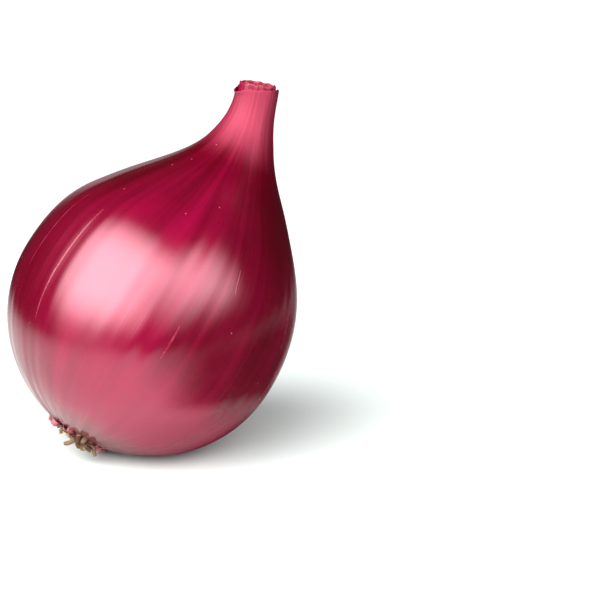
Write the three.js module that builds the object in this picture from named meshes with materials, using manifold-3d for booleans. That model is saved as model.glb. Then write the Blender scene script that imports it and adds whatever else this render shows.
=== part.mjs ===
// A whole red onion with its dry neck and its trimmed root tuft, leaning over on a flat spot on its belly.
// Millimetres, +Z up. The origin is the centre of the flat spot, and the neck leans towards +X.
import * as THREE from "three";
import { mergeVertices } from "three/addons/utils/BufferGeometryUtils.js";
import Module from "manifold-3d";

const wasm = await Module();
wasm.setup();

// How the onion rests: its axis leans from the vertical, and the belly is pressed flat on the table.
const LEAN = THREE.MathUtils.degToRad(36.4);
const RESTING_CUT = 1.2;

// The bulb's outline. Radii are from its axis, and heights run along it from the middle of the belly.
// A slope is the outline's direction, as an angle from the outward radius towards the neck.
const BELLY_RADIUS = 40;
const BELLY_DEPTH = 38.8;
const SHOULDER = { radius: 21.3, height: 39.8, slope: THREE.MathUtils.degToRad(131) };
const NECK = { radius: 6.6, height: 62.6, slope: THREE.MathUtils.degToRad(98) };
const TIP = { radius: 6.1, height: 72.4, rounding: 1 };
const BELLY_HANDLE = 22;
const SHOULDER_HANDLE = { below: 14, above: 11 };
const NECK_HANDLE = 9.5;

// The dimple in the root end that the root plate sits in.
const DIMPLE = { rimRadius: 8, floorRadius: 6.6, depth: 2.2 };

// The neck bends back towards the vertical from this height to its tip, slowly at first.
const NECK_BEND = { start: 12, angle: THREE.MathUtils.degToRad(25), ease: 1.8 };

// The root plate and the trimmed roots that grow out of it in two rings.
const ROOT_PLATE = { radius: 6, thickness: 2.8, crown: 0.7 };
const GAP = 0.3;
const ROOT_RINGS = [
  { count: 14, startRadius: 4.8, splay: THREE.MathUtils.degToRad(32), length: 3.6, thickness: 1.8 },
  { count: 8, startRadius: 2.8, splay: THREE.MathUtils.degToRad(14), length: 3, thickness: 1.7 },
];
const ROOT_TAPER = 0.72;
const ROOT_LENGTH_SPREAD = 0.16;
const ROOT_SINK = 1;

// How finely the round shapes are divided.
const BULB_SIDES = 60;
const ROOT_PLATE_SIDES = 32;
const ROOT_SIDES = 7;
const ARC_STEPS = 14;
const CURVE_STEPS = 11;
const BEND_STEPS = 100;
const WELD = 1e-4;
const FLOOR_SIZE = 300;

// The point at a distance from a point of the outline, along its slope.
function along({ radius, height, slope }, distance) {
  return new THREE.Vector2(radius + Math.cos(slope) * distance, height + Math.sin(slope) * distance);
}

// The bulb's half outline, from the middle of the dimple to the middle of the tip.
function bulbOutline() {
  const rimAngle = -Math.acos(DIMPLE.rimRadius / BELLY_RADIUS);
  const dimpleFloor = BELLY_DEPTH * Math.sin(rimAngle) + DIMPLE.depth;
  const belly = { radius: BELLY_RADIUS, height: 0, slope: Math.PI / 2 };
  const lowerBelly = new THREE.EllipseCurve(0, 0, BELLY_RADIUS, BELLY_DEPTH, rimAngle, 0);
  const shoulder = new THREE.CubicBezierCurve(
    along(belly, 0),
    along(belly, BELLY_HANDLE),
    along(SHOULDER, -SHOULDER_HANDLE.below),
    along(SHOULDER, 0),
  );
  const neck = new THREE.CubicBezierCurve(
    along(SHOULDER, 0),
    along(SHOULDER, SHOULDER_HANDLE.above),
    along(NECK, -NECK_HANDLE),
    along(NECK, 0),
  );
  const rim = TIP.height - TIP.rounding;
  const tipRound = new THREE.QuadraticBezierCurve(
    new THREE.Vector2(TIP.radius, rim),
    new THREE.Vector2(TIP.radius, TIP.height),
    new THREE.Vector2(TIP.radius - TIP.rounding, TIP.height),
  );
  return [
    new THREE.Vector2(0, dimpleFloor),
    new THREE.Vector2(DIMPLE.floorRadius, dimpleFloor),
    ...lowerBelly.getPoints(ARC_STEPS),
    ...shoulder.getPoints(CURVE_STEPS).slice(1),
    ...neck.getPoints(CURVE_STEPS).slice(1),
    new THREE.Vector2(TIP.radius + (NECK.radius - TIP.radius) / 2, (NECK.height + rim) / 2),
    ...tipRound.getPoints(3),
    new THREE.Vector2(0, TIP.height),
  ];
}

// How far the bend has turned at a rise above its start.
function bendTurn(rise) {
  return NECK_BEND.angle * (rise / (TIP.height - NECK_BEND.start)) ** NECK_BEND.ease;
}

// Bends what stands above the start of the bend towards -X, square to a middle line that keeps its length.
function bendNeck(geometry) {
  const corners = geometry.getAttribute("position");
  for (let i = 0; i < corners.count; i++) {
    const rise = corners.getZ(i) - NECK_BEND.start;
    if (rise > 0) {
      const step = rise / BEND_STEPS;
      let across = 0;
      let up = NECK_BEND.start;
      for (let n = 0; n < BEND_STEPS; n++) {
        const turn = bendTurn((n + 0.5) * step);
        across -= Math.sin(turn) * step;
        up += Math.cos(turn) * step;
      }
      const aside = corners.getX(i);
      corners.setX(i, across + aside * Math.cos(bendTurn(rise)));
      corners.setZ(i, up + aside * Math.sin(bendTurn(rise)));
    }
  }
  return geometry;
}

// An outline turned about the Z axis.
function turned(outline, sides) {
  return new THREE.LatheGeometry(outline, sides).rotateX(Math.PI / 2);
}

// A closed geometry as a solid that can be cut and joined, without the faces that shrink to a line at a pole.
function solidOf(geometry) {
  const bare = geometry.clone();
  bare.deleteAttribute("normal");
  bare.deleteAttribute("uv");
  const welded = mergeVertices(bare, WELD);
  const corners = welded.index.array;
  const triangles = [];
  for (let i = 0; i < corners.length; i += 3) {
    const [a, b, c] = corners.slice(i, i + 3);
    if (a !== b && b !== c && c !== a) triangles.push(a, b, c);
  }
  return new wasm.Manifold(
    new wasm.Mesh({
      numProp: 3,
      vertProperties: welded.getAttribute("position").array,
      triVerts: new Uint32Array(triangles),
    }),
  );
}

// A solid as a geometry again.
function geometryOf(solid) {
  const { vertProperties, triVerts } = solid.getMesh();
  const geometry = new THREE.BufferGeometry();
  geometry.setAttribute("position", new THREE.BufferAttribute(vertProperties, 3));
  geometry.setIndex(new THREE.BufferAttribute(triVerts, 1));
  geometry.computeVertexNormals();
  return geometry;
}

// Everything below a level over the table, in the frame of a leaning group.
function tableSolid(leaning, level) {
  const block = new THREE.BoxGeometry(FLOOR_SIZE, FLOOR_SIZE, FLOOR_SIZE);
  block.translate(0, 0, level - FLOOR_SIZE / 2);
  return solidOf(block.applyMatrix4(leaning.matrix.clone().invert()));
}

// The bulb with its bent neck, cut flat where it rests.
function makeBulb(leaning) {
  const whole = solidOf(bendNeck(turned(bulbOutline(), BULB_SIDES)));
  const skin = new THREE.MeshStandardMaterial({ color: 0x8a1130, roughness: 0.35, metalness: 0 });
  const bulb = new THREE.Mesh(geometryOf(whole.subtract(tableSolid(leaning, 0))), skin);
  bulb.name = "bulb";
  return bulb;
}

// One trimmed root, pointing up from the XY plane with its lower end sunk below it.
function rootStub(length, thickness) {
  const base = thickness / 2;
  const stub = new THREE.CylinderGeometry(base * ROOT_TAPER, base, length + ROOT_SINK, ROOT_SIDES);
  return stub.rotateX(Math.PI / 2).translate(0, 0, (length - ROOT_SINK) / 2);
}

// The root plate with its roots, made pointing up, turned over into the dimple and kept clear of the table.
function makeRootTuft(leaning) {
  const top = ROOT_PLATE.thickness;
  const plateOutline = [
    new THREE.Vector2(0, 0),
    new THREE.Vector2(ROOT_PLATE.radius, 0),
    new THREE.Vector2(ROOT_PLATE.radius, top - ROOT_PLATE.crown),
    new THREE.Vector2(ROOT_PLATE.radius - ROOT_PLATE.crown, top),
    new THREE.Vector2(0, top),
  ];
  let tuft = solidOf(turned(plateOutline, ROOT_PLATE_SIDES));
  for (const ring of ROOT_RINGS) {
    for (let i = 0; i < ring.count; i++) {
      const spread = 1 + ROOT_LENGTH_SPREAD * Math.sin(i * i);
      const stub = rootStub(ring.length * spread, ring.thickness);
      stub.rotateY(ring.splay).translate(ring.startRadius, 0, top);
      stub.rotateZ((2 * Math.PI * i) / ring.count);
      tuft = tuft.add(solidOf(stub));
    }
  }
  const rimDepth = BELLY_DEPTH * Math.sqrt(1 - (DIMPLE.rimRadius / BELLY_RADIUS) ** 2);
  const geometry = geometryOf(tuft).rotateX(Math.PI).translate(0, 0, DIMPLE.depth - GAP - rimDepth);
  const dryRoot = new THREE.MeshStandardMaterial({ color: 0xb39270, roughness: 0.85, metalness: 0 });
  const trimmed = solidOf(geometry).subtract(tableSolid(leaning, GAP));
  const mesh = new THREE.Mesh(geometryOf(trimmed), dryRoot);
  mesh.name = "root_tuft";
  return mesh;
}

// The leaning belly's lowest point is this far below the middle of the belly, and this far from under it.
const lowest = Math.hypot(BELLY_RADIUS * Math.sin(LEAN), BELLY_DEPTH * Math.cos(LEAN));
const aside = ((BELLY_RADIUS ** 2 - BELLY_DEPTH ** 2) * Math.sin(LEAN) * Math.cos(LEAN)) / lowest;

const leaning = new THREE.Group();
leaning.rotation.y = LEAN;
leaning.position.set(-aside, 0, lowest - RESTING_CUT);
leaning.updateMatrix();
leaning.add(makeBulb(leaning), makeRootTuft(leaning));

const onion = new THREE.Group();
onion.add(leaning);

export default onion;
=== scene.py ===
"""A whole red onion: the finish of its skin, neck and root end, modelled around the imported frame."""
import math

import bmesh
import bpy
import numpy as np
from bpy.props import FloatProperty, FloatVectorProperty, PointerProperty
from mathutils import Matrix, Vector
from mathutils.bvhtree import BVHTree


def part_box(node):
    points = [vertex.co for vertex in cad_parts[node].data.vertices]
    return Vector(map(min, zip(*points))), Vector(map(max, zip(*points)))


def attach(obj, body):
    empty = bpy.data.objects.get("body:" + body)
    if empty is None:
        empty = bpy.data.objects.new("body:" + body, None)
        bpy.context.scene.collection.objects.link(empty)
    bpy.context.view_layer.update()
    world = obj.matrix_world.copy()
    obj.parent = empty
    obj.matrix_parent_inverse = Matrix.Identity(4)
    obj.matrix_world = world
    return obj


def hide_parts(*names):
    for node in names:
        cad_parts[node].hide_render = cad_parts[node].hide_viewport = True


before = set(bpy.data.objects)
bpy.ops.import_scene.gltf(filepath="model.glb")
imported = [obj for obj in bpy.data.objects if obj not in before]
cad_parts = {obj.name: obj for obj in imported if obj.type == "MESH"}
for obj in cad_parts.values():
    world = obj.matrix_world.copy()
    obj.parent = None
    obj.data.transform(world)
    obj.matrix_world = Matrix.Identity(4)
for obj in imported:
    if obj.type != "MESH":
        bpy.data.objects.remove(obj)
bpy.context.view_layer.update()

bl_info = {
    "name": "Red onion",
    "version": (1, 0, 0),
    "blender": (4, 5, 0),
    "location": "3D View > Sidebar > Onion",
    "description": "Models a whole red onion around its packed frame, with a small white studio",
    "category": "Object",
}

_, BULB_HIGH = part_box("bulb")
MM = 0.001
WELD = 1e-6

# The root end stays at least this far above the table
TABLE_GAP = 0.2 * MM

# The skin's edge ends this far below the tip's height, so that the inner sheaths show above it
SHEATH_RISE = 0.6 * MM

# How finely the pieces are divided
SKIN_SIDES = 96
OUTLINE_STEPS = 11
SKIN_ROUNDS = 2
SHEATH_SIDES = 72
SHEATH_STEPS = 7
PLATE_SIDES = 64
PLATE_STEPS = 4
ROOT_SIDES = 9
BEND_STEPS = 1000
OUTLINE_SAMPLES = 60

# The bend turns with this power of the height above its start
BEND_EASE = 1.8

# Slopes of the outline in degrees, from the outward radius towards the neck, and its handles' lengths
SHOULDER_SLOPE = 131
NECK_SLOPE = 98
BELLY_HANDLE = 22 * MM
SHOULDER_BEFORE = 14 * MM
SHOULDER_AFTER = 11 * MM
NECK_BEFORE = 9.5 * MM
NECK_AFTER = 2.5 * MM
TIP_HANDLE = 2 * MM


def size(name, description, default):
    """A length that a user can change."""
    return FloatProperty(name=name, description=description, default=default, unit="LENGTH", precision=5)


def angle(name, description, degrees):
    """An angle that a user can change."""
    return FloatProperty(name=name, description=description, default=math.radians(degrees), subtype="ANGLE")


def colour(name, description, red, green, blue):
    """A colour that a user can change, in linear light."""
    return FloatVectorProperty(
        name=name,
        description=description,
        default=(red, green, blue),
        subtype="COLOR",
        min=0,
        max=1,
    )


class OnionShape(bpy.types.PropertyGroup):
    """Sizes of the onion, along and around the bulb's own axis from the middle of the belly."""

    belly_radius: size("Belly radius", "Half the bulb's width", BULB_HIGH.y)
    belly_depth: size("Belly depth", "From the middle of the belly down to the root end", 38.8 * MM)
    lean: angle("Lean", "How far the bulb's axis leans from the vertical", 36.4)
    resting_cut: size("Resting cut", "How deep the belly is pressed flat on the table", 1.2 * MM)
    shoulder_radius: size("Shoulder radius", "Radius where the shoulder turns hollow", 21.3 * MM)
    shoulder_height: size("Shoulder height", "Height where the shoulder turns hollow", 39.8 * MM)
    neck_radius: size("Neck radius", "Radius where the neck starts", 6.6 * MM)
    neck_height: size("Neck height", "Height where the neck starts", 62.6 * MM)
    tip_radius: size("Tip radius", "Radius of the skin's edge at the neck's tip", 6.0 * MM)
    tip_height: size("Tip height", "Height of the neck's tip", 72.4 * MM)
    bend: angle("Neck bend", "How far the neck bends back towards the vertical", 25)
    bend_start: size("Bend start", "Height where the neck starts to bend", 12 * MM)
    root_rim: size("Root rim", "Radius of the skin's edge around the root plate", 8 * MM)
    root_dimple: size("Root dimple", "How deep the root plate's dimple is", 2.2 * MM)
    rib_height: size("Rib height", "Height of the lengthwise ribs on the belly", 0.055 * MM)
    lip_flare: size("Lip flare", "How far the skin's edge at the tip flares out on one side", 0.7 * MM)
    ridge_height: size("Ridge height", "Height of the lengthwise ridges in the neck", 0.9 * MM)


class OnionColours(bpy.types.PropertyGroup):
    """Colours of the onion's surfaces."""

    deep: colour("Deep skin", "The darkest crimson of the skin", 0.068, 0.0003, 0.0042)
    bright: colour("Bright skin", "The reddest streaks of the skin", 0.215, 0.0012, 0.027)
    rosy: colour("Rosy skin", "The pink of the neck and of the skin by the root", 0.285, 0.034, 0.062)
    dry: colour("Dry skin", "The greyish skin around the root", 0.12, 0.05, 0.045)
    vein: colour("Vein", "The raised veins", 0.20, 0.018, 0.034)
    paper: colour("Dry paper", "The dry edges of the skin", 0.72, 0.40, 0.36)
    cream: colour("Root cream", "The pale woody middle of the root plate", 0.55, 0.43, 0.28)
    tan: colour("Root tan", "The dry roots", 0.22, 0.14, 0.075)
    brown: colour("Root brown", "The pits and the shaded side of the roots", 0.09, 0.035, 0.018)


class OnionStage(bpy.types.PropertyGroup):
    """The white studio and the camera."""

    floor: colour("Floor", "The pale floor", 0.70, 0.75, 0.73)
    azimuth: angle("Azimuth", "The camera's turn about the upright, from looking along +Y", -24.5)
    elevation: angle("Elevation", "How far the camera looks down", 17)
    distance: size("Distance", "From the camera to the middle of the belly", 0.72)
    frame_width: size("Frame width", "Width that the picture shows at the onion", 600 / 3.545 * MM)


# Placing points of the onion


def lean_matrix(shape):
    """Takes the bulb's own frame, with its axis along Z, to where the onion leans on the table."""
    across = shape.belly_radius * math.sin(shape.lean)
    down = shape.belly_depth * math.cos(shape.lean)
    lowest = math.hypot(across, down)
    turn = math.sin(shape.lean) * math.cos(shape.lean)
    aside = (shape.belly_radius**2 - shape.belly_depth**2) * turn / lowest
    return Matrix.Translation((-aside, 0, lowest - shape.resting_cut)) @ Matrix.Rotation(shape.lean, 4, "Y")


def bend_neck(points, shape):
    """Bends what stands above the start of the bend towards -X, slowly at first, along a middle line."""
    length = shape.tip_height - shape.bend_start
    rise = np.maximum(points[:, 2] - shape.bend_start, 0)
    steps = np.linspace(0, 1.2 * length, BEND_STEPS)
    turns = shape.bend * (steps / length) ** BEND_EASE
    across = np.interp(rise, steps, -np.cumsum(np.sin(turns)) * steps[1])
    up = np.interp(rise, steps, np.cumsum(np.cos(turns)) * steps[1] - steps[1])
    turn = shape.bend * (rise / length) ** BEND_EASE
    bent = points.copy()
    bent[:, 0] = across + points[:, 0] * np.cos(turn)
    bent[:, 2] = points[:, 2] - rise + up + points[:, 0] * np.sin(turn)
    return bent


def to_table(points, shape, lowest=0):
    """Takes points of the straight upright onion to where they are on the leaning one, above a level."""
    lean = np.array(lean_matrix(shape))
    placed = bend_neck(points, shape) @ lean[:3, :3].T + lean[:3, 3]
    placed[:, 2] = np.maximum(placed[:, 2], lowest)
    return placed


def turn_way(degrees):
    """The cosine and sine of an angle in degrees."""
    return (math.cos(math.radians(degrees)), math.sin(math.radians(degrees)))


def turn_apart(around, degrees):
    """How far turns about the axis are from one in degrees, the short way round."""
    return np.abs(np.angle(np.exp(1j * (around - math.radians(degrees)))))


def smooth_step(low, high, value):
    """0 below low, 1 above high, and an even rise between."""
    part = np.clip((value - low) / (high - low), 0, 1)
    return part * part * (3 - 2 * part)


def lengthwise_waves(around, along, counts, drift, seed):
    """Waves round the axis that wander slowly along it, from about -1 to 1."""
    chance = np.random.default_rng(seed)
    total = np.zeros_like(around)
    for count in counts:
        start, sway = chance.uniform(0, math.tau, 2)
        length = chance.uniform(18, 40) * MM
        total += np.sin(count * around + start + drift * np.sin(along / length + sway))
    return total / math.sqrt(len(counts))


# The outline and the skin's shape


def outline_knots(shape):
    """The skin's half outline from root rim to neck tip, as knots of (place, handle before, handle after)."""
    rim_turn = -math.acos(shape.root_rim / shape.belly_radius)
    reach = 4 / 3 * math.tan(-rim_turn / 4)
    rim = Vector((shape.root_rim, shape.belly_depth * math.sin(rim_turn)))
    rim_way = Vector((-shape.belly_radius * math.sin(rim_turn), shape.belly_depth * math.cos(rim_turn)))
    belly = Vector((shape.belly_radius, 0))
    shoulder = Vector((shape.shoulder_radius, shape.shoulder_height))
    shoulder_way = Vector(turn_way(SHOULDER_SLOPE))
    neck = Vector((shape.neck_radius, shape.neck_height))
    neck_way = Vector(turn_way(NECK_SLOPE))
    tip = Vector((shape.tip_radius, shape.tip_height - SHEATH_RISE))
    up = Vector((0, 1))
    return [
        (rim, rim, rim + reach * rim_way),
        (belly, belly - reach * shape.belly_depth * up, belly + BELLY_HANDLE * up),
        (shoulder, shoulder - SHOULDER_BEFORE * shoulder_way, shoulder + SHOULDER_AFTER * shoulder_way),
        (neck, neck - NECK_BEFORE * neck_way, neck + NECK_AFTER * neck_way),
        (tip, tip - TIP_HANDLE * up, tip),
    ]


def outline_radius(shape, heights):
    """The even outline's radius at heights along the axis."""
    knots = outline_knots(shape)
    part = np.linspace(0, 1, OUTLINE_SAMPLES)[:, None]
    path = []
    for (start, _, leave), (end, arrive, _) in zip(knots, knots[1:]):
        ends = (1 - part) ** 3 * np.array(start) + part**3 * np.array(end)
        handles = (1 - part) * np.array(leave) + part * np.array(arrive)
        path.append(ends + 3 * (1 - part) * part * handles)
    path = np.concatenate(path)
    return np.interp(heights, path[:, 1], path[:, 0])


# Ridges that run down the dry neck: their turn about the axis in degrees, their share of the ridge height and
# half their width in degrees
NECK_RIDGES = (
    (275, 0.70, 26),
    (158, 0.55, 28),
    (322, 0.45, 24),
    (16, 0.65, 20),
    (66, 0.40, 15),
    (112, 0.70, 20),
)

# Turns about the axis, in degrees, where the skin's edge at the tip flares out and is torn low, and where
# it stands high
LIP_TURN = 172
HIGH_LIP_TURN = 300

# The shoulder and the foot of the neck are filled out. The fill is a mean amount, plus a share that is added
# at this turn about the axis in degrees and taken away opposite it.
FULL_SHOULDER_TURN = 165
SHOULDER_FILL = 0.85 * MM
SHOULDER_FILL_SIDE = 0.2 * MM

# Heights in millimetres between which each part of the skin's relief comes in or dies away, and how much
# lower the fill comes in on its full side
BELLY_START = (-38, -26)
BELLY_END = (34, 52)
NECK_START = (40, 62)
ROOT_END = (-38.5, -27)
FILL_START = (36, 49)
FILL_LOWERED = 10
FILL_END = (56, 68)
LIP_START = (69, 72)

# Heights of the broad lobes, of the pleats by the root and of the creases in the neck
LOBE_HEIGHT = 0.14 * MM
PLEAT_HEIGHT = 0.12 * MM
CREASE_HEIGHT = 0.025 * MM


def neck_ridges(around, along):
    """Round-backed ridges in the neck with flatter faces between, about 1 at the highest."""
    total = np.zeros_like(around)
    wander = 0.10 * np.sin(along / (7 * MM)) + 0.06 * np.sin(along / (3.1 * MM))
    for degrees, height, half_width in NECK_RIDGES:
        aside = turn_apart(around + wander * height, degrees)
        total += height * np.exp(-((aside / math.radians(half_width)) ** 1.5))
    return total


def skin_swell(around, along, shape):
    """How far the skin stands out from its even outline, at turns around and heights along the axis."""
    height = along / MM
    belly = smooth_step(*BELLY_START, height) * (1 - smooth_step(*BELLY_END, height))
    neck = smooth_step(*NECK_START, height)
    root = 1 - smooth_step(*ROOT_END, height)
    lobes = lengthwise_waves(around, along, (2, 3, 5), 0.35, 11)
    broad = lengthwise_waves(around, along, (7, 9, 11, 13, 16), 0.5, 12)
    ribs = lengthwise_waves(around, along, (22, 27, 31, 38, 45, 52), 0.6, 13)
    pleats = lengthwise_waves(around, along, (17, 23, 29), 0.3, 14)
    creases = lengthwise_waves(around, along, (19, 26, 33), 1.2, 15)
    fuller = np.cos(around - math.radians(FULL_SHOULDER_TURN))
    filled = smooth_step(*FILL_START, height + FILL_LOWERED * fuller) * (1 - smooth_step(*FILL_END, height))
    swell = LOBE_HEIGHT * lobes * (1 - neck)
    swell += belly * shape.rib_height * (1.6 * broad + 0.7 * ribs)
    swell += root * PLEAT_HEIGHT * pleats
    swell += neck * (shape.ridge_height * (neck_ridges(around, along) - 0.45) + CREASE_HEIGHT * creases)
    swell += filled * (SHOULDER_FILL + SHOULDER_FILL_SIDE * fuller)
    lip = smooth_step(*LIP_START, height) * np.exp(-((turn_apart(around, LIP_TURN) / 0.5) ** 2))
    return swell + shape.lip_flare * lip


def swell_out(points, amount):
    """Moves points out from the axis, or from the middle of the belly where they lie below it."""
    out = points.copy()
    out[:, 2] = np.minimum(out[:, 2], 0)
    length = np.maximum(np.linalg.norm(out, axis=1), WELD)
    return points + out * (amount / length)[:, None]


# Small tools for modelling


def begin():
    """Leaves nothing selected, so the next operator acts only on what it adds."""
    if bpy.context.mode != "OBJECT":
        bpy.ops.object.mode_set(mode="OBJECT")
    bpy.ops.object.select_all(action="DESELECT")


def draw_outline(knots, steps):
    """Draws a half outline as one Bezier curve in the XZ plane and makes it a chain of edges."""
    begin()
    bpy.ops.curve.primitive_bezier_curve_add()
    curve = bpy.context.object
    spline = curve.data.splines[0]
    spline.bezier_points.add(len(knots) - len(spline.bezier_points))
    for point, (place, before, after) in zip(spline.bezier_points, knots):
        point.handle_left_type = point.handle_right_type = "FREE"
        point.co = (place.x, 0, place.y)
        point.handle_left = (before.x, 0, before.y)
        point.handle_right = (after.x, 0, after.y)
    curve.data.resolution_u = steps
    bpy.ops.object.convert(target="MESH")
    return bpy.context.object


def spin_round(sides):
    """Spins the active outline about the Z axis into a closed wall, and stays in edit mode."""
    bpy.ops.object.mode_set(mode="EDIT")
    bpy.context.tool_settings.mesh_select_mode = (False, True, False)
    bpy.ops.mesh.select_all(action="SELECT")
    bpy.ops.mesh.spin(steps=sides, angle=math.tau, center=(0, 0, 0), axis=(0, 0, 1))
    bpy.ops.mesh.select_all(action="SELECT")
    bpy.ops.mesh.remove_doubles(threshold=WELD)


def close_end(piece, radius, height, rings):
    """Extrudes the open loop at a radius and height through rings of the same, and closes it at the axis."""
    mesh = bmesh.from_edit_mesh(piece.data)
    for edge in mesh.edges:
        edge.select_set(edge.is_boundary and all(abs(v.co.z - height) < 10 * WELD for v in edge.verts))
    bmesh.update_edit_mesh(piece.data)
    for next_radius, next_height in rings:
        bpy.ops.mesh.extrude_edges_move()
        ratio = next_radius / radius
        bpy.ops.transform.resize(value=(ratio, ratio, 1), center_override=(0, 0, height))
        bpy.ops.transform.translate(value=(0, 0, next_height - height))
        radius, height = next_radius, next_height
    bpy.ops.mesh.extrude_edges_move()
    bpy.ops.mesh.merge(type="CENTER")


def face_outwards():
    """Ends the edit with every face pointing out."""
    bpy.ops.mesh.select_all(action="SELECT")
    bpy.ops.mesh.normals_make_consistent(inside=False)
    bpy.ops.object.mode_set(mode="OBJECT")


def apply_modifier(piece, kind, **settings):
    """Adds a modifier to the active piece with its settings and applies it."""
    modifier = piece.modifiers.new(kind.title(), kind)
    for name, value in settings.items():
        setattr(modifier, name, value)
    bpy.ops.object.modifier_apply(modifier=modifier.name)


def corner_places(piece):
    """A piece's vertices as rows of x, y and z."""
    places = np.empty(len(piece.data.vertices) * 3, dtype=np.float32)
    piece.data.vertices.foreach_get("co", places)
    return places.reshape(-1, 3).astype(float)


def move_corners(piece, places):
    """Puts a piece's vertices at rows of x, y and z."""
    piece.data.vertices.foreach_set("co", places.astype(np.float32).ravel())
    piece.data.update()


def keep_vectors(piece, name, rows):
    """Stores a vector on every vertex, for the materials to read."""
    stored = piece.data.attributes.new(name, "FLOAT_VECTOR", "POINT")
    stored.data.foreach_set("vector", rows.astype(np.float32).ravel())


def join_pieces(pieces):
    """Joins pieces into the first of them."""
    begin()
    for piece in pieces:
        piece.select_set(True)
    bpy.context.view_layer.objects.active = pieces[0]
    bpy.ops.object.join()
    return pieces[0]


def remove_models(models):
    """Takes away shapes that were modelled only to be copied."""
    for model in models:
        bpy.data.meshes.remove(model.data)


def finish_piece(piece, name, material, slot, *nodes):
    """Names a piece, gives it its material and ties it to the frame."""
    begin()
    piece.name = piece.data.name = name
    piece.data.materials.clear()
    piece.data.materials.append(material)
    piece.data.polygons.foreach_set("use_smooth", [True] * len(piece.data.polygons))
    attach(piece, "root")
    if nodes:
        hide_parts(*nodes)


# Materials


def new_material(name):
    """An empty material, and the bench that its nodes are joined on."""
    material = bpy.data.materials.new(name)
    material.use_nodes = True
    return material, Bench(material)


class Bench:
    """One node tree, with short calls to add and join its nodes."""

    def __init__(self, owner):
        self.tree = owner.node_tree
        self.shader = self.tree.nodes.get("Principled BSDF")

    def add(self, kind, inputs=(), **settings):
        """Adds a node, sets its settings, and sets or joins its inputs by name or number."""
        node = self.tree.nodes.new("ShaderNode" + kind)
        for name, value in settings.items():
            setattr(node, name, value)
        for name, value in dict(inputs).items():
            self.join(node.inputs[name], value)
        return node

    def join(self, socket, value):
        """Links a socket from another, or sets it to a value."""
        if isinstance(value, bpy.types.NodeSocket):
            self.tree.links.new(value, socket)
        else:
            socket.default_value = value

    def give(self, name, value):
        """Links or sets one of the shader's own sockets."""
        self.join(self.shader.inputs[name], value)

    def place(self):
        """The place on the piece, in its own frame."""
        return self.add("TexCoord").outputs["Object"]

    def parts(self, vector):
        """The three parts of a vector."""
        return self.add("SeparateXYZ", {0: vector}).outputs

    def dot(self, first, second):
        """How far one vector reaches along another."""
        return self.add("VectorMath", {0: first, 1: second}, operation="DOT_PRODUCT").outputs["Value"]

    def length(self, vector):
        """The length of a vector."""
        return self.add("VectorMath", {0: vector}, operation="LENGTH").outputs["Value"]

    def math(self, operation, first, second=0.0):
        """A sum on one or two values."""
        return self.add("Math", {0: first, 1: second}, operation=operation).outputs[0]

    def times(self, first, second):
        """The product of two values."""
        return self.math("MULTIPLY", first, second)

    def total(self, *shares):
        """The sum of values, each times its share."""
        result = 0.0
        for value, share in shares:
            node = self.add("Math", {0: value, 1: share, 2: result}, operation="MULTIPLY_ADD")
            result = node.outputs[0]
        return result

    def blend(self, amount, first, second):
        """A colour between two."""
        node = self.add("Mix", data_type="RGBA")
        for socket, value in zip((node.inputs[0], node.inputs[6], node.inputs[7]), (amount, first, second)):
            self.join(socket, value)
        return node.outputs[2]

    def rise(self, value, low, high, bottom=0.0, top=1.0):
        """An even rise from bottom at low to top at high."""
        inputs = {"Value": value, "From Min": low, "From Max": high, "To Min": bottom, "To Max": top}
        return self.add("MapRange", inputs, interpolation_type="SMOOTHSTEP").outputs[0]

    def noise(self, vector, scale, detail=2.0, roughness=0.5):
        """Cloudy noise from 0 to 1."""
        inputs = {"Vector": vector, "Scale": scale, "Detail": detail, "Roughness": roughness}
        return self.add("TexNoise", inputs).outputs[0]

    def stretched(self, vector, *scale):
        """A vector scaled along its three ways."""
        return self.add("Mapping", {"Vector": vector, "Scale": scale}).outputs[0]

    def attribute(self, name):
        """A vector that the piece's vertices hold."""
        return self.add("Attribute", attribute_name=name).outputs["Vector"]

    def bump(self, height, distance, strength=1.0):
        """A surface that rises with a height from 0 to 1."""
        inputs = {"Height": height, "Distance": distance, "Strength": strength}
        return self.add("Bump", inputs).outputs[0]


def opaque(tint):
    """A colour property as the four values that a colour socket takes."""
    return (*tint, 1.0)


# Tints of the gloss on the belly and on the dry neck
GLOSS = (1, 0.52, 0.60, 1)
DRY_GLOSS = (0.22, 0.06, 0.09, 1)

# The skin is reddest on the face that this way around the bulb's axis points to: partly its own bands, partly
# painted light on the lit face with painted shade on its sides. The neck's pale pink there is painted light.
REDDEST_AND_LIT_FACE = (*turn_way(232), 0)

# Low on the belly the skin is painted redder on the face that this way points to, as painted bounce light
PAINTED_BOUNCE_FACE = (*turn_way(290), 0)

# How strongly the skin and its veins mirror the light
SKIN_INDEX = 2.05


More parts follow.
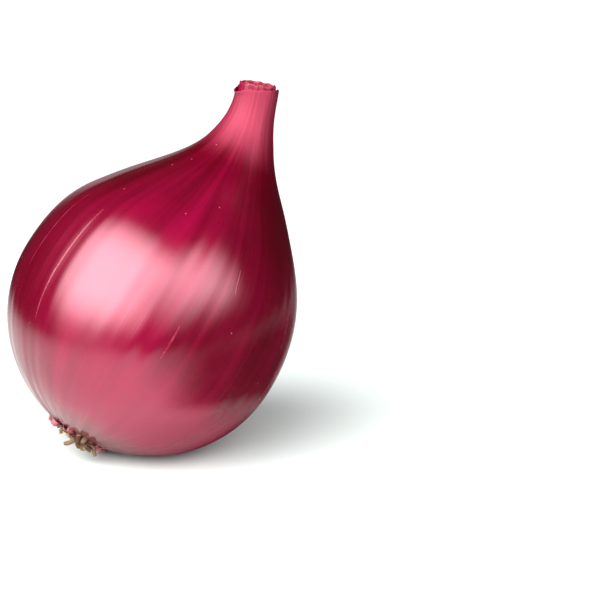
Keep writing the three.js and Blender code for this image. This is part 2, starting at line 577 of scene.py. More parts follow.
def skin_material(colours):
    """Crimson onion skin: lengthwise streaks from root to neck, pale specks and a satin gloss."""
    material, bench = new_material("onion_skin")
    peel = bench.attribute("peel")
    place = bench.place()
    height = bench.parts(peel)[2]
    bands = bench.noise(bench.stretched(peel, 4.5, 4.5, 0.45), 1, 3, 0.55)
    streaks = bench.noise(bench.stretched(peel, 17, 17, 0.6), 1, 3, 0.6)
    fibres = bench.noise(bench.stretched(peel, 75, 75, 1.6), 1, 2, 0.6)
    clouds = bench.noise(place, 55, 3, 0.55)

    # The skin's own bands mixed with painted light and shade: redder on the lit face and on two faces a third
    # of a turn from it, darker between them, fading out up the neck.
    facing = bench.dot(peel, REDDEST_AND_LIT_FACE)
    lobes = bench.math("ADD", bench.times(bench.math("POWER", facing, 2.0), 4.0), -3.0)
    lobes = bench.times(facing, lobes)
    lobes = bench.times(lobes, bench.rise(height, 1.4, 1.0))
    shoulder = bench.times(bench.rise(height, 0.55, 1.05), bench.rise(height, 1.55, 1.2))
    redness = bench.total((streaks, 0.40), (bands, 0.70), (fibres, 0.10), (clouds, 0.40), (lobes, 0.16))
    # Painted bounce light from the floor: low on the belly the skin is painted redder on one side
    under = bench.dot(peel, PAINTED_BOUNCE_FACE)
    under = bench.times(bench.rise(under, 0.55, 0.95), bench.rise(height, -0.15, -0.55))
    redness = bench.total((redness, 1.0), (shoulder, -0.18), (under, 0.55))
    skin = bench.blend(bench.rise(redness, 0.40, 1.25), opaque(colours.deep), opaque(colours.bright))

    # Painted light on the neck: its pale pink is full on the lit face and weak on its other sides, as painted
    # shade
    painted_neck_light = bench.rise(bench.total((facing, 1.0), (streaks, 0.4)), 0.30, 1.0, 0.2, 1.0)
    drying = bench.rise(bench.total((height, 1.0), (streaks, 0.12), (bands, 0.15)), 1.36, 1.74)
    neck = bench.times(drying, painted_neck_light)
    root = bench.rise(bench.total((height, 1.0), (streaks, 0.30)), -0.55, -0.86)
    rosy = bench.math("MAXIMUM", bench.times(neck, 0.9), bench.times(root, 0.6))
    skin = bench.blend(rosy, skin, opaque(colours.rosy))
    papery = bench.rise(bench.total((height, 1.0), (streaks, 0.16)), -0.66, -0.84, 0, 0.8)
    skin = bench.blend(papery, skin, opaque(colours.dry))

    dots = bench.add("TexVoronoi", {"Vector": place, "Scale": 380.0}, feature="F1")
    rare = bench.math("GREATER_THAN", bench.add("SeparateColor", {0: dots.outputs["Color"]}).outputs[0], 0.93)
    speck = bench.times(bench.rise(dots.outputs["Distance"], 0.11, 0.04), rare)
    skin = bench.blend(bench.times(speck, 0.25), skin, opaque(colours.paper))

    bench.give("Base Color", skin)
    dullness = bench.total((streaks, 0.05), (clouds, 0.09), (bench.rise(height, 1.1, 1.5), 0.2))
    bench.give("Roughness", bench.math("ADD", dullness, 0.11))
    bench.give("IOR", SKIN_INDEX)
    bench.give("Specular Tint", bench.blend(bench.rise(height, 0.98, 1.35), GLOSS, DRY_GLOSS))
    grain = bench.math("ADD", fibres, bench.times(bench.noise(place, 900, 2), 0.25))
    bench.give("Normal", bench.bump(grain, 0.000014))
    return material


def vein_material(colours):
    """Raised veins: paler than the skin, uneven along their length."""
    material, bench = new_material("skin_veins")
    place = bench.place()
    worn = bench.rise(bench.noise(place, 260, 3, 0.6), 0.40, 0.62)
    shade = bench.blend(worn, opaque(colours.bright), opaque(colours.vein))
    bench.give("Base Color", shade)
    bench.give("Roughness", bench.rise(worn, 0, 1, 0.20, 0.30))
    bench.give("IOR", SKIN_INDEX)
    bench.give("Specular Tint", GLOSS)
    bench.give("Normal", bench.bump(bench.noise(place, 2600, 2), 0.00005))
    return material


def layer_material(colours):
    """Sheaths inside the neck: crimson outside to dusty pink within, with dry fibres and paper edges."""
    material, bench = new_material("neck_layers")
    place = bench.place()
    growth = bench.parts(bench.attribute("growth"))
    fibres = bench.noise(bench.stretched(bench.attribute("peel"), 5, 5, 1.5), 1, 2, 0.5)
    clouds = bench.noise(place, 520, 2)
    shade = bench.blend(bench.rise(growth[1], 0.2, 1.2), opaque(colours.bright), opaque(colours.rosy))
    shade = bench.blend(bench.rise(fibres, 0.52, 0.75, 0, 0.14), shade, opaque(colours.paper))
    edge = bench.rise(bench.math("ADD", growth[0], bench.times(clouds, 0.3)), 1.05, 1.3, 0, 0.25)
    shade = bench.blend(edge, shade, opaque(colours.paper))
    bench.give("Base Color", shade)
    bench.give("Roughness", bench.rise(fibres, 0.3, 0.7, 0.45, 0.65))
    bench.give("Specular IOR Level", 0.25)
    bench.give("Normal", bench.bump(fibres, 0.00010))
    return material


def tatter_material(colours):
    """Torn skin ends: crimson where they leave the skin, drying to pink and white at the ends."""
    material, bench = new_material("skin_tatters")
    place = bench.place()
    growth = bench.parts(bench.attribute("growth"))
    clouds = bench.noise(place, 620, 3, 0.6)
    dryness = bench.math("ADD", bench.times(growth[0], 0.8), bench.times(clouds, 0.7))
    dryness = bench.math("ADD", dryness, bench.times(growth[2], 0.35))
    shade = bench.blend(bench.rise(dryness, 0.45, 1.0), opaque(colours.deep), opaque(colours.rosy))
    shade = bench.blend(bench.rise(dryness, 0.8, 1.6, 0, 0.6), shade, opaque(colours.paper))
    bench.give("Base Color", shade)
    bench.give("Roughness", bench.rise(clouds, 0.3, 0.7, 0.4, 0.65))
    bench.give("Normal", bench.bump(bench.noise(place, 2800, 2), 0.00012))
    return material


def plate_material(colours):
    """Corky root plate: a cream woody middle in a brown pitted ring."""
    material, bench = new_material("root_plate")
    place = bench.place()
    growth = bench.parts(bench.attribute("growth"))
    clouds = bench.noise(place, 800, 3, 0.6)
    reach = bench.math("ADD", growth[0], bench.times(clouds, 0.28))
    shade = bench.blend(bench.rise(reach, 0.52, 0.68), opaque(colours.cream), opaque(colours.tan))
    pits = bench.math("ADD", growth[2], bench.times(clouds, 0.7))
    shade = bench.blend(bench.rise(pits, 0.35, 0.75), shade, opaque(colours.brown))
    bench.give("Base Color", shade)
    bench.give("Roughness", bench.rise(clouds, 0.3, 0.7, 0.7, 0.9))
    bench.give("Normal", bench.bump(bench.noise(place, 2400, 3, 0.65), 0.0003))
    return material


def root_material(colours):
    """Dry roots: each between brown, tan and cream, darker where they leave the plate."""
    material, bench = new_material("dry_roots")
    place = bench.place()
    growth = bench.parts(bench.attribute("growth"))
    clouds = bench.noise(place, 1100, 3, 0.6)
    tone = bench.math("ADD", growth[1], bench.times(clouds, 0.5))
    shade = bench.blend(bench.rise(tone, 0.25, 0.65), opaque(colours.brown), opaque(colours.tan))
    shade = bench.blend(bench.rise(tone, 0.85, 1.4), shade, opaque(colours.cream))
    shaded = bench.rise(bench.math("ADD", growth[0], bench.times(clouds, 0.3)), 0.5, 0.1, 0, 0.8)
    shade = bench.blend(shaded, shade, opaque(colours.brown))
    bench.give("Base Color", shade)
    bench.give("Roughness", bench.rise(clouds, 0.3, 0.7, 0.65, 0.9))
    bench.give("Normal", bench.bump(bench.noise(place, 3200, 3, 0.65), 0.0002))
    return material


# Pieces

# The ring of skin around the dimple, the radii of the dimple's floor and of the ring in it, the thickness of
# the skin at the tip, and the hollow that it leaves there: its depth, its taper and the ring in its floor
RIM_WIDTH = 0.6 * MM
DIMPLE_FLOOR = 6.6 * MM
DIMPLE_MIDDLE = 3 * MM
SKIN_WALL = 0.45 * MM
NECK_HOLLOW = 4 * MM
HOLLOW_TAPER = 0.2 * MM
HOLLOW_MIDDLE = 2.5 * MM

# The skin's edge at the tip: how far down it is shaped and, in millimetres, how uneven it is, how deep it is
# torn and how high its high side stands
EDGE_DEPTH = 3 * MM
EDGE_UNEVEN = 0.14
EDGE_TORN = 1.5
EDGE_HIGH = 0.9


class ONION_OT_skin(bpy.types.Operator):
    """Models the bulb's skin with its ribs, its creased neck and the dimple at its root"""

    bl_idname = "onion.skin"
    bl_label = "Skin"
    bl_options = {"REGISTER", "UNDO"}

    def execute(self, context):
        shape = context.scene.onion_shape
        colours = context.scene.onion_colours
        knots = outline_knots(shape)
        skin = draw_outline(knots, OUTLINE_STEPS)
        spin_round(SKIN_SIDES)
        rim = knots[0][0]
        floor = rim.y + shape.root_dimple
        dimple = [(rim.x - RIM_WIDTH, rim.y), (DIMPLE_FLOOR, floor), (DIMPLE_MIDDLE, floor)]
        close_end(skin, rim.x, rim.y, dimple)
        tip = knots[-1][0]
        inner = tip.x - SKIN_WALL
        floor = tip.y - NECK_HOLLOW
        hollow = [(inner, tip.y), (inner, tip.y - MM), (inner - HOLLOW_TAPER, floor), (HOLLOW_MIDDLE, floor)]
        close_end(skin, tip.x, tip.y, hollow)
        face_outwards()
        apply_modifier(skin, "SUBSURF", levels=SKIN_ROUNDS, render_levels=SKIN_ROUNDS)
        straight = corner_places(skin)
        around = np.arctan2(straight[:, 1], straight[:, 0])
        along = straight[:, 2]
        keep_vectors(skin, "peel", peel_way(straight, shape))
        swelled = swell_out(straight, skin_swell(around, along, shape))
        edge = smooth_step(tip.y - EDGE_DEPTH, tip.y, along)
        ragged = EDGE_UNEVEN * lengthwise_waves(around, along, (4, 7, 11, 19), 0, 21)
        torn = EDGE_TORN * np.exp(-((turn_apart(around, LIP_TURN) / 0.55) ** 2))
        high_side = EDGE_HIGH * np.exp(-((turn_apart(around, HIGH_LIP_TURN) / 0.9) ** 2))
        swelled[:, 2] += edge * (ragged - torn + high_side) * MM
        move_corners(skin, to_table(swelled, shape))
        finish_piece(skin, "onion_skin", skin_material(colours), "onion_skin", "bulb")
        return {"FINISHED"}


def peel_way(points, shape):
    """Each point's turn about the axis, as cosine and sine, and its height, for lengthwise patterns."""
    around = np.arctan2(points[:, 1], points[:, 0])
    return np.stack([np.cos(around), np.sin(around), points[:, 2] / shape.belly_radius], axis=1)


# Veins: the turn and height of each end, in degrees and millimetres, and half the width in millimetres.
# Each stands out from the skin along its middle, is sunk into it at its sides and sways a little.
SEEN_VEINS = (
    (195, 19, 194, -17, 0.48),
    (252, 2.5, 253, -8.5, 0.34),
    (265, 24, 267, 17, 0.2),
)
OTHER_VEINS = 15
LOWEST_VEIN = -33
VEIN_RISE = 0.055 * MM
VEIN_SINK = 0.02 * MM
VEIN_SWAY = 0.15 * MM


def vein_rows():
    """The veins that show most, and others round the rest of the bulb."""
    chance = np.random.default_rng(41)
    rows = list(SEEN_VEINS)
    for vein in range(OTHER_VEINS):
        turn = 290 + 250 * (vein + chance.uniform(0.1, 0.9)) / OTHER_VEINS
        high = chance.uniform(-8, 34)
        length = chance.uniform(9, 36)
        last_turn = turn + chance.uniform(-3, 3)
        rows.append((turn, high, last_turn, max(high - length, LOWEST_VEIN), chance.uniform(0.22, 0.42)))
    return rows


def lay_vein(skin, shape, row):
    """Lays one thin raised ribbon on the skin, from its first end to its second, narrow at both."""
    turn, high, last_turn, low, half_width = row
    steps = max(8, round(abs(high - low) / 1.2))
    begin()
    bpy.ops.mesh.primitive_grid_add(x_subdivisions=4, y_subdivisions=steps, size=2)
    vein = bpy.context.object
    flat = corner_places(vein)
    aside = flat[:, 0]
    part = (flat[:, 1] + 1) / 2
    taper = np.sqrt(np.clip(np.sin(math.pi * (0.03 + 0.94 * part)), 0, 1))
    along = (high + (low - high) * part) * MM
    radius = outline_radius(shape, along)
    sway = VEIN_SWAY * np.sin(5 * part + turn)
    around = np.radians(turn + (last_turn - turn) * part) + (aside * half_width * MM * taper + sway) / radius
    straight = np.stack([radius * np.cos(around), radius * np.sin(around), along], axis=1)
    keep_vectors(vein, "peel", peel_way(straight, shape))
    rise = (VEIN_RISE * (1 - aside**2) - VEIN_SINK) * taper
    placed = to_table(straight, shape)
    for corner, (place, lift) in enumerate(zip(placed, rise)):
        spot, out, _, _ = skin.find_nearest(Vector(place))
        placed[corner] = spot + out * lift
    move_corners(vein, placed)
    return vein


class ONION_OT_veins(bpy.types.Operator):
    """Lays the raised veins on the skin"""

    bl_idname = "onion.veins"
    bl_label = "Veins"
    bl_options = {"REGISTER", "UNDO"}

    def execute(self, context):
        shape = context.scene.onion_shape
        colours = context.scene.onion_colours
        skin = BVHTree.FromObject(bpy.data.objects["onion_skin"], bpy.context.evaluated_depsgraph_get())
        veins = join_pieces([lay_vein(skin, shape, row) for row in vein_rows()])
        finish_piece(veins, "skin_veins", vein_material(colours), "onion_skin")
        return {"FINISHED"}


# Sheaths of the neck from the outside in: radius and height of the edge in millimetres, and how crumpled
SHEATHS = (
    (5.1, 73.3, 0.22),
    (4.1, 73.4, 0.32),
    (3.0, 72.8, 0.40),
    (1.7, 72.2, 0.30),
)
SHEATH_FOOT = 65.5 * MM
SHEATH_WALL = 0.3 * MM
SHEATH_RAGGED = 0.18 * MM


def raise_sheath(shape, layer, radius, top, crumple):
    """Raises one thin wall inside the neck, crumpled and with a ragged edge."""
    begin()
    bpy.ops.mesh.primitive_circle_add(vertices=SHEATH_SIDES, radius=radius * MM)
    sheath = bpy.context.object
    bpy.ops.object.mode_set(mode="EDIT")
    bpy.ops.mesh.select_all(action="SELECT")
    bpy.ops.transform.translate(value=(0, 0, SHEATH_FOOT))
    for _ in range(SHEATH_STEPS):
        bpy.ops.mesh.extrude_edges_move()
        bpy.ops.transform.translate(value=(0, 0, (top * MM - SHEATH_FOOT) / SHEATH_STEPS))
    face_outwards()
    apply_modifier(sheath, "SOLIDIFY", thickness=SHEATH_WALL, offset=-1)
    apply_modifier(sheath, "SUBSURF", levels=1, render_levels=1)
    straight = corner_places(sheath)
    around = np.arctan2(straight[:, 1], straight[:, 0])
    along = straight[:, 2]
    part = (along - SHEATH_FOOT) / (top * MM - SHEATH_FOOT)
    folds = lengthwise_waves(around, along, (3, 5, 8), 0.5, 51 + layer)
    straight = swell_out(straight, crumple * folds * (0.4 + 0.6 * part) * MM)
    ragged = lengthwise_waves(around, along, (3, 6, 11), 0, 71 + layer)
    straight[:, 2] += smooth_step(0.5, 1, part) * SHEATH_RAGGED * ragged
    keep_vectors(sheath, "peel", peel_way(straight, shape))
    growth = np.stack([part, np.full_like(part, layer / (len(SHEATHS) - 1)), folds], axis=1)
    keep_vectors(sheath, "growth", growth)
    move_corners(sheath, to_table(straight, shape))
    return sheath


class ONION_OT_neck_layers(bpy.types.Operator):
    """Models the crumpled sheaths that show in the cut tip of the neck"""

    bl_idname = "onion.neck_layers"
    bl_label = "Neck layers"
    bl_options = {"REGISTER", "UNDO"}

    def execute(self, context):
        shape = context.scene.onion_shape
        colours = context.scene.onion_colours
        layers = join_pieces([raise_sheath(shape, layer, *row) for layer, row in enumerate(SHEATHS)])
        finish_piece(layers, "neck_layers", layer_material(colours), "onion_skin")
        return {"FINISHED"}


def root_face(shape):
    """Height along the axis of the rim that the root end's heights are taken from, downwards."""
    return outline_knots(shape)[0][0].y


# The root plate's half outline: radius, and how far out of the rim, both in millimetres
PLATE_OUTLINE = (
    (0, -1.7),
    (6.2, -1.7),
    (6.3, -0.6),
    (5.4, 0.25),
    (4.1, 0.2),
    (3.2, 0.15),
    (2.7, 0.7),
    (1.5, 1.0),
    (0, 1.1),
)
PLATE_PITS = 90


class ONION_OT_root_plate(bpy.types.Operator):
    """Models the corky plate that the roots grow from"""

    bl_idname = "onion.root_plate"
    bl_label = "Root plate"
    bl_options = {"REGISTER", "UNDO"}

    def execute(self, context):
        shape = context.scene.onion_shape
        colours = context.scene.onion_colours
        face = root_face(shape)
        knots = [Vector((radius * MM, face - out * MM)) for radius, out in PLATE_OUTLINE]
        plate = draw_outline([(knot, knot, knot) for knot in knots], PLATE_STEPS)
        spin_round(PLATE_SIDES)
        face_outwards()
        apply_modifier(plate, "SUBSURF", levels=1, render_levels=1)
        straight = corner_places(plate)
        chance = np.random.default_rng(81)
        out = (face - straight[:, 2]) / MM
        radius = np.hypot(straight[:, 0], straight[:, 1]) / MM
        around = np.arctan2(straight[:, 1], straight[:, 0])
        open_face = smooth_step(-0.8, 0, out)
        dents = np.zeros_like(out)
        for _ in range(PLATE_PITS):
            turn = chance.uniform(0, math.tau)
            reach = chance.uniform(2.7, 6)
            width = chance.uniform(0.25, 0.6)
            across = straight[:, 0] / MM - reach * math.cos(turn)
            over = straight[:, 1] / MM - reach * math.sin(turn)
            dents += chance.uniform(-0.35, 0.6) * np.exp(-((across**2 + over**2) / width**2))
        uneven = 0.18 * np.sin(3 * around + 1) + 0.12 * np.sin(5 * around)
        uneven += 0.08 * np.sin(11 * around + radius)
        straight[:, 2] += open_face * (dents + uneven * smooth_step(0.5, 3, radius)) * MM
        growth = np.stack([radius / 6, 0.5 + 0.5 * np.sin(7 * around), np.clip(dents, -1, 1)], axis=1)
        keep_vectors(plate, "growth", growth)
        move_corners(plate, to_table(straight, shape, TABLE_GAP))
        finish_piece(plate, "root_plate", plate_material(colours), "dry_root", "root_tuft")
        return {"FINISHED"}


# Dry roots to model: thickness, taper and bend of each step, and flatness, for copies to vary
ROOT_SHAPES = (
    (0.85, 0.96, 8, 0.8),
    (1.0, 0.95, 18, 0.6),
    (0.75, 0.94, -15, 0.8),
    (1.1, 0.97, 26, 0.5),
)
ROOT_STEPS = 6
ROOT_STEP = 0.8 * MM

# Rings of roots: how many, the radii and the splays in degrees they start between, and their scales
ROOT_RINGS = (
    (52, (4.4, 6.2), (-16, 18), (0.45, 0.75)),
    (26, (3.0, 4.6), (-8, 20), (0.55, 0.85)),
    (8, (2.2, 3.0), (0, 18), (0.4, 0.7)),
)

# The roots are longest, and the torn skin shortest, at this turn about the axis in degrees, and less so over
# this spread in radians
FULL_TURN = 266
FULL_SPREAD = 0.65

# How far inside the dimple's rim the roots and the torn skin start
ROOT_START = 0.5 * MM


def full_side(turn):
    """How near a turn is to the side where the roots are longest, up to 1."""
    return math.exp(-((turn_apart(turn, FULL_TURN) / FULL_SPREAD) ** 2))


def model_root(thickness, taper, bend, flatness):
    """One dry root that grows up from the origin and bends as it goes, with a hollow cut end."""
    begin()
    bpy.ops.mesh.primitive_circle_add(vertices=ROOT_SIDES, radius=thickness * MM, fill_type="NGON")
    root = bpy.context.object
    bpy.ops.object.mode_set(mode="EDIT")
    bpy.ops.mesh.select_all(action="SELECT")
    bpy.ops.transform.resize(value=(flatness, 1, 1), center_override=(0, 0, 0))
    middle = Vector((0, 0, 0))
    for step in range(ROOT_STEPS):
        lean = math.radians(bend) * step
        stride = Vector((-math.sin(lean), 0, math.cos(lean))) * ROOT_STEP
        middle += stride
        bpy.ops.mesh.extrude_region_move(TRANSFORM_OT_translate={"value": stride})
        swelling = taper * (1.10 if step % 3 == 1 else 0.98)
        bpy.ops.transform.resize(value=(swelling,) * 3, center_override=middle)
        bpy.ops.transform.rotate(value=math.radians(bend), orient_axis="Y", center_override=middle)
    bpy.ops.mesh.inset(thickness=0.2 * thickness * MM, depth=-0.35 * thickness * MM)
    face_outwards()
    apply_modifier(root, "SUBSURF", levels=1, render_levels=1)
    return root


def standing_out(turn, radius, height, splay, roll, scale):
    """Stands a shape that grows along +Z out of the root end, splayed outwards."""
    place = Vector((radius * math.cos(turn), radius * math.sin(turn), height))
    lean = Matrix.Rotation(math.pi - splay, 4, "Y") @ Matrix.Rotation(roll, 4, "Z")
    return Matrix.Translation(place) @ Matrix.Rotation(turn, 4, "Z") @ lean @ Matrix.Diagonal((*scale, 1))


def copy_piece(model, matrix, growth):
    """A copy of a modelled shape with a mesh of its own, moved by a matrix."""
    copy = bpy.data.objects.new(model.name, model.data.copy())
    bpy.context.scene.collection.objects.link(copy)
    copy.data.transform(matrix)
    keep_vectors(copy, "growth", growth)
    return copy


class ONION_OT_dry_roots(bpy.types.Operator):
    """Models a few dry roots and copies them all over the root plate"""

    bl_idname = "onion.dry_roots"
    bl_label = "Dry roots"
    bl_options = {"REGISTER", "UNDO"}

    def execute(self, context):
        shape = context.scene.onion_shape
        colours = context.scene.onion_colours
        chance = np.random.default_rng(91)
        models = [model_root(*row) for row in ROOT_SHAPES]
        copies = []
        for count, radii, splays, scales in ROOT_RINGS:
            for root in range(count):
                model = models[chance.integers(len(models))]
                turn = math.tau * (root + chance.uniform(-0.4, 0.4)) / count
                fullness = full_side(turn)
                scale = chance.uniform(*scales) * (1 + fullness)
                lengths = (scale, scale, scale * chance.uniform(0.7, 1.1))
                radius = chance.uniform(*radii) + 0.7 * fullness
                height = root_face(shape) + ROOT_START
                splay = math.radians(chance.uniform(*splays))
                roll = chance.normal(0, 0.9)
                matrix = standing_out(turn, radius * MM, height, splay, roll, lengths)
                part = corner_places(model)[:, 2] / (ROOT_STEPS * ROOT_STEP)
                tone = np.full_like(part, chance.uniform() ** 1.4)
                copies.append(copy_piece(model, matrix, np.stack([part, tone, part], axis=1)))
        remove_models(models)
        roots = join_pieces(copies)
        move_corners(roots, to_table(corner_places(roots), shape, TABLE_GAP))
        finish_piece(roots, "dry_roots", root_material(colours), "dry_root")
        return {"FINISHED"}


# Torn skin ends to model: length and half width in millimetres, curl in degrees, cup and twist
TATTER_SHAPES = (
    (3.2, 1.1, 150, 0.35, 0.4),
    (2.4, 0.8, 95, 0.5, -0.7),
    (3.8, 0.7, 200, 0.2, 0.9),
    (2.0, 1.3, 60, 0.6, 0.2),
)
TATTERS = 26
TATTER_WALL = 0.13 * MM
CURL_EASE = 1.4
CURL_STEPS = 80


def model_tatter(seed, length, half_width, curl, cup, twist):
    """One torn end of skin that grows up from the origin and curls over."""
    begin()
    bpy.ops.mesh.primitive_grid_add(x_subdivisions=6, y_subdivisions=10, size=2)
    tatter = bpy.context.object
    flat = corner_places(tatter)
    aside = flat[:, 0]
    part = (flat[:, 1] + 1) / 2
    chance = np.random.default_rng(seed)
    phase = chance.uniform(0, math.tau, 3)
    part *= 1 - 0.22 * part * (1 + np.sin(3.1 * aside + phase[0]) + 0.6 * np.sin(7 * aside + phase[1])) / 2
    turned = math.radians(curl) * part**CURL_EASE
    steps = np.linspace(0, 1, CURL_STEPS)
    path = math.radians(curl) * steps**CURL_EASE
    ahead = np.interp(part, steps, np.cumsum(np.cos(path)) / len(steps)) * length
    over = np.interp(part, steps, np.cumsum(np.sin(path)) / len(steps)) * length
    width = half_width * (1 - 0.35 * part) * (1 + 0.15 * np.sin(9 * part + phase[2]))
    rise = cup * half_width * (aside**2 - 0.3) + twist * part * aside * half_width
    shaped = np.stack([-over - rise * np.cos(turned), aside * width, ahead - rise * np.sin(turned)], axis=1)
    move_corners(tatter, shaped * MM)
    keep_vectors(tatter, "flat", np.stack([part, aside, np.zeros_like(part)], axis=1))
    apply_modifier(tatter, "SOLIDIFY", thickness=TATTER_WALL, offset=0)
    return tatter


class ONION_OT_tatters(bpy.types.Operator):
    """Models a few torn ends of skin and copies them round the root plate"""

    bl_idname = "onion.tatters"
    bl_label = "Skin tatters"
    bl_options = {"REGISTER", "UNDO"}

    def execute(self, context):
        shape = context.scene.onion_shape
        colours = context.scene.onion_colours
        chance = np.random.default_rng(101)
        models = [model_tatter(seed, *row) for seed, row in enumerate(TATTER_SHAPES)]
        copies = []
        for tatter in range(TATTERS):
            model = models[chance.integers(len(models))]
            turn = math.tau * (tatter + chance.uniform(-0.4, 0.4)) / TATTERS
            scale = chance.uniform(1.1, 1.7) * (1 - 0.65 * full_side(turn))
            height = root_face(shape) + ROOT_START
            radius = chance.uniform(6.0, 7.1) * MM
            splay = math.radians(chance.uniform(5, 45))
            matrix = standing_out(turn, radius, height, splay, chance.normal(0, 0.45), (scale,) * 3)
            stored = np.empty(len(model.data.vertices) * 3, dtype=np.float32)
            model.data.attributes["flat"].data.foreach_get("vector", stored)
            growth = stored.reshape(-1, 3).astype(float)
            growth[:, 2] = chance.uniform()
            copies.append(copy_piece(model, matrix, growth))
        remove_models(models)
        tatters = join_pieces(copies)
        move_corners(tatters, to_table(corner_places(tatters), shape, TABLE_GAP))
        finish_piece(tatters, "skin_tatters", tatter_material(colours), "onion_skin")
        return {"FINISHED"}


class ONION_OT_stage(bpy.types.Operator):
    """Sets the white floor, the soft lights and the camera"""

    bl_idname = "onion.stage"
    bl_label = "Stage"
    bl_options = {"REGISTER", "UNDO"}

    def execute(self, context):
        stage = context.scene.onion_stage
        middle = lean_matrix(context.scene.onion_shape).translation
        context.scene.view_settings.view_transform = "Standard"
        lay_floor(stage)
        stand_shade_board(stage, middle)
        lay_shade_sheet()
        light_world(context.scene, stage)
        aim_camera(context.scene, stage, middle)
        return {"FINISHED"}


# Each softbox: its turn to the right of the camera and its height, both in degrees as seen from the onion,
# half its width and half its height as slopes from its middle, and how much brighter than white it glows
SOFTBOXES = (
    (-47, 42, 0.70, 0.54, 8.6),
    (-55, 8, 0.45, 0.35, 1.1),
    (40, 32, 0.50, 0.38, 4.8),
)
SOFT_EDGE = 0.8

# How bright the backdrop, the dim surround and the white that the camera sees are
BACKDROP_GLOW = 0.5
SURROUND_GLOW = 0.02
SEEN_GLOW = 1.2


def studio_way(turn, rise):
    """The way from the onion at a turn about the upright, from -Y, and at a height above the table."""
    return Vector((math.sin(turn) * math.cos(rise), -math.cos(turn) * math.cos(rise), math.sin(rise)))


# The place of the middle of the belly in the picture, in its pixels from the left and the top
PICTURE_SIDE = 600
BELLY_PIXEL = (149, 315)


def aim_camera(scene, stage, middle):
    """Places the camera and turns it so the middle of the belly falls on its place in the picture."""
    back = studio_way(stage.azimuth, stage.elevation)
    right = studio_way(stage.azimuth + math.pi / 2, 0)
    up = back.cross(right)
    camera = bpy.data.cameras.new("onion_camera")
    camera.sensor_width = 36
    camera.lens = camera.sensor_width * stage.distance / stage.frame_width
    camera.clip_start = 0.01
    pixel = stage.frame_width / PICTURE_SIDE
    across = (PICTURE_SIDE / 2 - BELLY_PIXEL[0]) * pixel
    over = (BELLY_PIXEL[1] - PICTURE_SIDE / 2) * pixel
    aim = middle + right * across + up * over
    holder = bpy.data.objects.new("onion_camera", camera)
    scene.collection.objects.link(holder)
    holder.location = middle + back * stage.distance
    holder.rotation_euler = (aim - holder.location).to_track_quat("-Z", "Y").to_euler()
    scene.camera = holder


def softbox_glow(bench, way, stage, turn, rise, half_width, half_height, glow):
    """The glow of one soft-edged rectangle of light, seen along a way from the onion."""
    turn = stage.azimuth + math.radians(turn)
    rise = math.radians(rise)
    front = studio_way(turn, rise)
    across = studio_way(turn + math.pi / 2, 0)
    over = front.cross(across)
    ahead = bench.dot(way, front)
    total = bench.times(bench.math("GREATER_THAN", ahead, 0), glow)
    for axis, half in ((across, half_width), (over, half_height)):
        aside = bench.dot(way, axis)
        slope = bench.math("ABSOLUTE", bench.math("DIVIDE", aside, ahead))
        edge = bench.rise(slope, half * (1 + SOFT_EDGE), half * (1 - SOFT_EDGE))
        total = bench.times(total, edge)
    return total


def light_world(scene, stage):
    """Soft boxes and a white backdrop in a dim surround, and plain white where the camera sees it."""
    scene.world = bpy.data.worlds.new("white_studio")
    scene.world.use_nodes = True
    bench = Bench(scene.world)
    way = bench.add("TexCoord").outputs["Generated"]
    behind = studio_way(stage.azimuth + math.pi, 0)
    facing = bench.dot(way, behind)
    glow = bench.rise(facing, 0.94, 0.995, SURROUND_GLOW, BACKDROP_GLOW)
    for softbox in SOFTBOXES:
        glow = bench.math("ADD", glow, softbox_glow(bench, way, stage, *softbox))
    seen = bench.add("LightPath").outputs["Is Camera Ray"]
    strength = bench.add("Mix", {0: seen, 2: glow, 3: SEEN_GLOW}).outputs[0]
    backdrop = bench.tree.nodes["Background"]
    backdrop.inputs["Color"].default_value = (1, 1, 1, 1)
    bench.join(backdrop.inputs["Strength"], strength)


# The floor's radius, how far it lies below the onion, and the part of the radius where it starts to fade
FLOOR_RADIUS = 0.32
FLOOR_DROP = 0.05 * MM
FLOOR_FADE = 0.3


def lay_floor(stage):
    """A round pale floor just under the onion, which fades out into the white around it."""
    begin()
    bpy.ops.mesh.primitive_circle_add(
        vertices=128,
        radius=FLOOR_RADIUS,
        fill_type="NGON",
        location=(0, 0, -FLOOR_DROP),
    )
    floor = bpy.context.object
    floor.name = "studio_floor"
    material, bench = new_material("studio_floor")
    place = bench.place()
    grain = bench.noise(place, 900, 2)
    paper = bench.blend(bench.rise(grain, 0.3, 0.7, 0, 0.04), opaque(stage.floor), (1, 1, 1, 1))
    bench.give("Base Color", paper)
    reach = bench.length(place)
    bench.give("Alpha", bench.rise(reach, FLOOR_RADIUS, FLOOR_FADE * FLOOR_RADIUS))
    bench.give("Roughness", 0.9)
    bench.give("Specular IOR Level", 0.2)
    floor.data.materials.append(material)


# The dark board, which paints shade into the onion's reflections on its right side: its turns to the right
# of the camera in degrees, its distance from the belly, its height and how far its foot reaches in over the
# floor. Of the dark sheet beneath the onion, which paints a contact shadow into the reflections on its lowest
# skin: its radius, how far its middle lies to +X of the onion's, and how far it lies below the onion. The two
# tones are of the painted shade on both.
SHADE_BOARD_TURNS = (-8, 140)
SHADE_BOARD_DISTANCE = 60 * MM
SHADE_BOARD_HEIGHT = 64 * MM
SHADE_BOARD_FOOT = 20 * MM
SHADE_SHEET_RADIUS = 60 * MM
SHADE_SHEET_SHIFT = 14 * MM
SHADE_SHEET_DROP = 0.02 * MM
DEEP_PAINTED_SHADE = (0.02, 0.006, 0.008, 1)
LIGHT_PAINTED_SHADE = (0.05, 0.014, 0.018, 1)


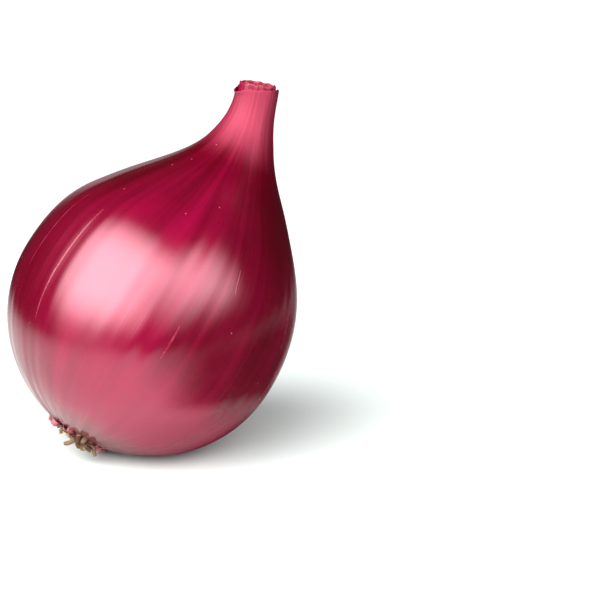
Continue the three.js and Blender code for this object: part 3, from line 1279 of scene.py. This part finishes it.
def darken_reflections(name, shaded, places, spread):
    """Finishes a dark sheet only reflections show: painted shade, so the onion's low side stays deep red."""
    sheet = bpy.context.object
    sheet.name = name
    move_corners(sheet, np.stack(places, axis=1))
    keep_vectors(sheet, "spread", spread)
    material, bench = new_material(name)
    # Mottled dark tones of painted shade
    shade_mottle = bench.noise(bench.place(), 1500, 2)
    shade = bench.blend(shade_mottle, DEEP_PAINTED_SHADE, LIGHT_PAINTED_SHADE)
    bench.give("Base Color", shade)
    bench.give("Alpha", shaded(bench, bench.attribute("spread")))
    bench.give("Roughness", 0.95)
    sheet.data.materials.append(material)
    sheet.visible_camera = False
    sheet.visible_shadow = False
    sheet.visible_diffuse = False


def shade_board_fade(bench, spread):
    """Full in the middle of the board, fading out to its sides, its top and the edge of its foot."""
    across, over, _ = bench.parts(spread)
    sides = bench.rise(bench.math("ABSOLUTE", across), 1.0, 0.4)
    ends = bench.times(bench.rise(over, 1.0, 0.4), bench.rise(over, -1.0, -0.4))
    return bench.times(sides, ends)


def shade_sheet_fade(bench, spread):
    """Full in the middle of the painted-shade sheet, and about half further out, fading to its edge."""
    reach = bench.length(spread)
    return bench.total((bench.rise(reach, 0.45, 0.22), 0.45), (bench.rise(reach, 1.0, 0.5), 0.55))


def stand_shade_board(stage, middle):
    """A low curved board beside the onion, with a foot on the floor, painting shade into the onion's
    reflections.
    """
    begin()
    bpy.ops.mesh.primitive_grid_add(x_subdivisions=24, y_subdivisions=10, size=2)
    flat = corner_places(bpy.context.object)
    first, last = np.radians(SHADE_BOARD_TURNS) + stage.azimuth
    turn = first + (last - first) * (flat[:, 0] + 1) / 2
    away = SHADE_BOARD_DISTANCE + SHADE_BOARD_FOOT * np.minimum(flat[:, 1], 0)
    height = MM + SHADE_BOARD_HEIGHT * np.maximum(flat[:, 1], 0)
    places = [middle.x + away * np.sin(turn), middle.y - away * np.cos(turn), height]
    darken_reflections("painted_shade_board", shade_board_fade, places, flat)


def lay_shade_sheet():
    """A round sheet beneath the onion, a little to the side its neck leans to: painted contact shadow in
    reflections.
    """
    begin()
    bpy.ops.mesh.primitive_grid_add(x_subdivisions=8, y_subdivisions=8, size=2)
    flat = corner_places(bpy.context.object)
    places = [SHADE_SHEET_SHIFT + SHADE_SHEET_RADIUS * flat[:, 0], SHADE_SHEET_RADIUS * flat[:, 1], np.full(len(flat), -SHADE_SHEET_DROP)]
    darken_reflections("painted_shade_sheet", shade_sheet_fade, places, flat)


class ONION_PT_panel(bpy.types.Panel):
    """Lists the onion's operators and sizes"""

    bl_idname = "ONION_PT_panel"
    bl_label = "Red onion"
    bl_space_type = "VIEW_3D"
    bl_region_type = "UI"
    bl_category = "Onion"

    def draw(self, context):
        """Lays out the operators, then the sizes and colours."""
        for piece in PIECES:
            self.layout.operator(piece.bl_idname)
        for group in (context.scene.onion_shape, context.scene.onion_colours, context.scene.onion_stage):
            for name in group.bl_rna.properties.keys():
                if name not in {"rna_type", "name"}:
                    self.layout.prop(group, name)


PIECES = (
    ONION_OT_skin,
    ONION_OT_veins,
    ONION_OT_neck_layers,
    ONION_OT_root_plate,
    ONION_OT_dry_roots,
    ONION_OT_tatters,
    ONION_OT_stage,
)
GROUPS = (OnionShape, OnionColours, OnionStage)


def register():
    """Adds the onion's classes and its groups of sizes and colours to Blender."""
    for each in (*GROUPS, *PIECES, ONION_PT_panel):
        bpy.utils.register_class(each)
    bpy.types.Scene.onion_shape = PointerProperty(type=OnionShape)
    bpy.types.Scene.onion_colours = PointerProperty(type=OnionColours)
    bpy.types.Scene.onion_stage = PointerProperty(type=OnionStage)


def unregister():
    """Takes away what register added."""
    del bpy.types.Scene.onion_stage
    del bpy.types.Scene.onion_colours
    del bpy.types.Scene.onion_shape
    for each in reversed((*GROUPS, *PIECES, ONION_PT_panel)):
        bpy.utils.unregister_class(each)


def main():
    """Makes the whole onion and its stage."""
    register()
    bpy.ops.onion.skin()
    bpy.ops.onion.veins()
    bpy.ops.onion.neck_layers()
    bpy.ops.onion.root_plate()
    bpy.ops.onion.dry_roots()
    bpy.ops.onion.tatters()
    bpy.ops.onion.stage()


if __name__ == "__main__":
    main()
